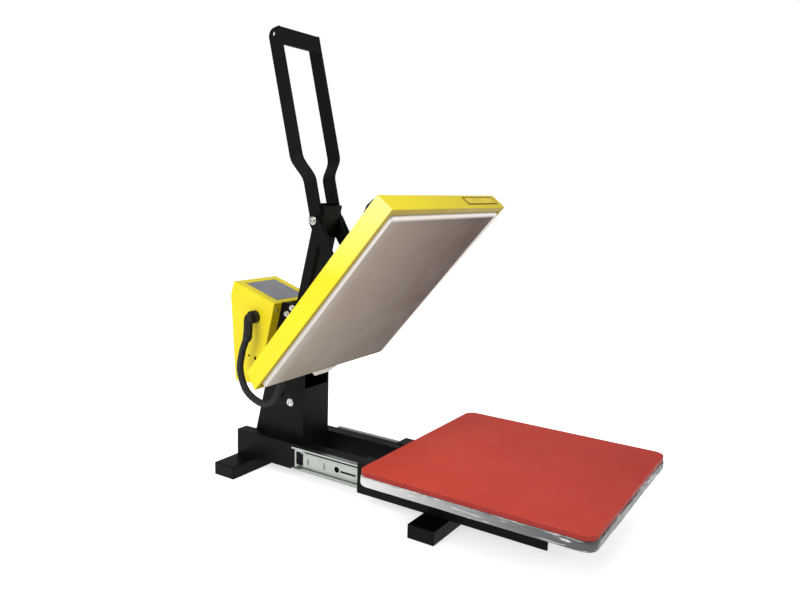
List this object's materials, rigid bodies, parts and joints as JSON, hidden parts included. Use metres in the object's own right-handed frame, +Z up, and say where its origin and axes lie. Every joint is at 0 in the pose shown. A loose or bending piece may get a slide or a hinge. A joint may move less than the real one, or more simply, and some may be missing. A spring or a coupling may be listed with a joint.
{
  "type": "heat press",
  "caption": "Swing-up flat heat press with a pull-out lower platen, toggle handle and a control box behind the tower.",
  "frame": {"origin": "on the floor under the middle of the machine's outer box", "axes": "+Z up, +Y from the operator to the rear, +X to the operator's right"},
  "size_m": [0.384, 0.7885, 0.8386],
  "materials": {
    "black_paint": "gloss black paint",
    "yellow_coat": "yellow powder coat",
    "bright_steel": "turned steel",
    "zinc_plate": "zinc plated steel",
    "cast_aluminium": "coated aluminium",
    "black_plate": "black anodised",
    "silicone": "red silicone",
    "black_rubber": "matte",
    "fibre": "glass fibre mat",
    "ceramic": "ceramic",
    "black_plastic": "fine grain",
    "display": "display window",
    "board": "circuit board"
  },
  "bodies": {
    "root": {"base_beam_left": "black_paint", "base_beam_right": "black_paint", "front_foot": "black_paint", "rear_foot": "black_paint", "cross_member": "black_paint", "tower_side_left": "black_paint", "tower_side_right": "black_paint", "tower_front_plate": "black_paint", "tower_rear_plate": "black_paint", "hinge_shaft": "black_paint", "toggle_pin_left": "bright_steel", "toggle_pin_right": "bright_steel", "cross_bolt": "bright_steel", "stop_bolt": "bright_steel", "top_bolt": "bright_steel", "open_stop": "black_rubber", "slide_outer_left": "zinc_plate", "slide_outer_right": "zinc_plate", "control_box": "yellow_coat", "screen": "display", "circuit_board": "board", "power_inlet": "black_plastic", "fuse_holder": "black_plastic", "switch_bezel": "black_plastic", "box_gland": "black_plastic", "conduit": "black_plastic"},
    "arm": {"arm_tube": "black_paint", "arm_leg_left": "black_paint", "arm_leg_right": "black_paint", "rear_bracket": "black_paint", "support_channel": "black_paint", "backing_plate": "zinc_plate", "insulation": "fibre", "heating_element": "bright_steel", "heat_plate": "cast_aluminium", "terminal_block": "ceramic", "cover": "yellow_coat", "cover_gland": "black_plastic", "pivot_bolt": "bright_steel"},
    "handle": {"handle_bar_left": "black_paint", "handle_bar_right": "black_paint", "handle_crossbar": "black_paint", "link_pin_left": "bright_steel", "link_pin_right": "bright_steel"},
    "toggle_links": {"toggle_link_left": "black_paint", "toggle_link_right": "black_paint"},
    "drawer": {"tray": "black_paint", "platen_bar_front": "black_paint", "platen_bar_rear": "black_paint", "lower_platen": "black_plate", "silicone_pad": "silicone", "slide_inner_left": "zinc_plate", "slide_inner_right": "zinc_plate"},
    "middle_slides": {"slide_middle_left": "zinc_plate", "slide_middle_right": "zinc_plate"},
    "knob": {"pressure_knob": "black_plastic", "pressure_screw": "bright_steel"},
    "power_switch": {"power_switch": "black_plastic"}
  },
  "joints": [
    {"name": "arm_hinge", "type": "hinge", "parent": "root", "child": "arm", "pos_m": [0, 0.29, 0.1595], "axis": [1, 0, 0], "range_deg": [0, 50], "deforming": ["conduit"]},
    {"name": "handle_pivot", "type": "hinge", "parent": "arm", "child": "handle", "pos_m": [0, 0.20603, 0.49698], "axis": [1, 0, 0], "range_deg": [0, 50.1]},
    {"name": "toggle_pivot", "type": "hinge", "parent": "root", "child": "toggle_links", "pos_m": [0, 0.25, 0.2285], "axis": [1, 0, 0], "range_deg": [0, 55.6]},
    {"name": "drawer_slide", "type": "slide", "parent": "root", "child": "drawer", "axis": [0, 1, 0], "range_m": [0, 0.178]},
    {"name": "middle_slide", "type": "slide", "parent": "root", "child": "middle_slides", "axis": [0, 1, 0], "range_m": [0, 0.0216]},
    {"name": "knob_turn", "type": "hinge", "parent": "arm", "child": "knob", "pos_m": [0, 0.02967, 0.46975], "axis": [0, 0.766, 0.6428], "range_deg": [-720, 720]},
    {"name": "switch_rock", "type": "hinge", "parent": "root", "child": "power_switch", "pos_m": [0, 0.3877, 0.24334], "axis": [1, 0, 0], "range_deg": [0, 14]}
  ],
  "couplings": [
    {"joint": "handle_pivot", "follows": "arm_hinge", "ratio": 1},
    {"joint": "toggle_pivot", "follows": "arm_hinge", "ratio": 1.111},
    {"joint": "middle_slide", "follows": "drawer_slide", "ratio": 0.12}
  ]
}
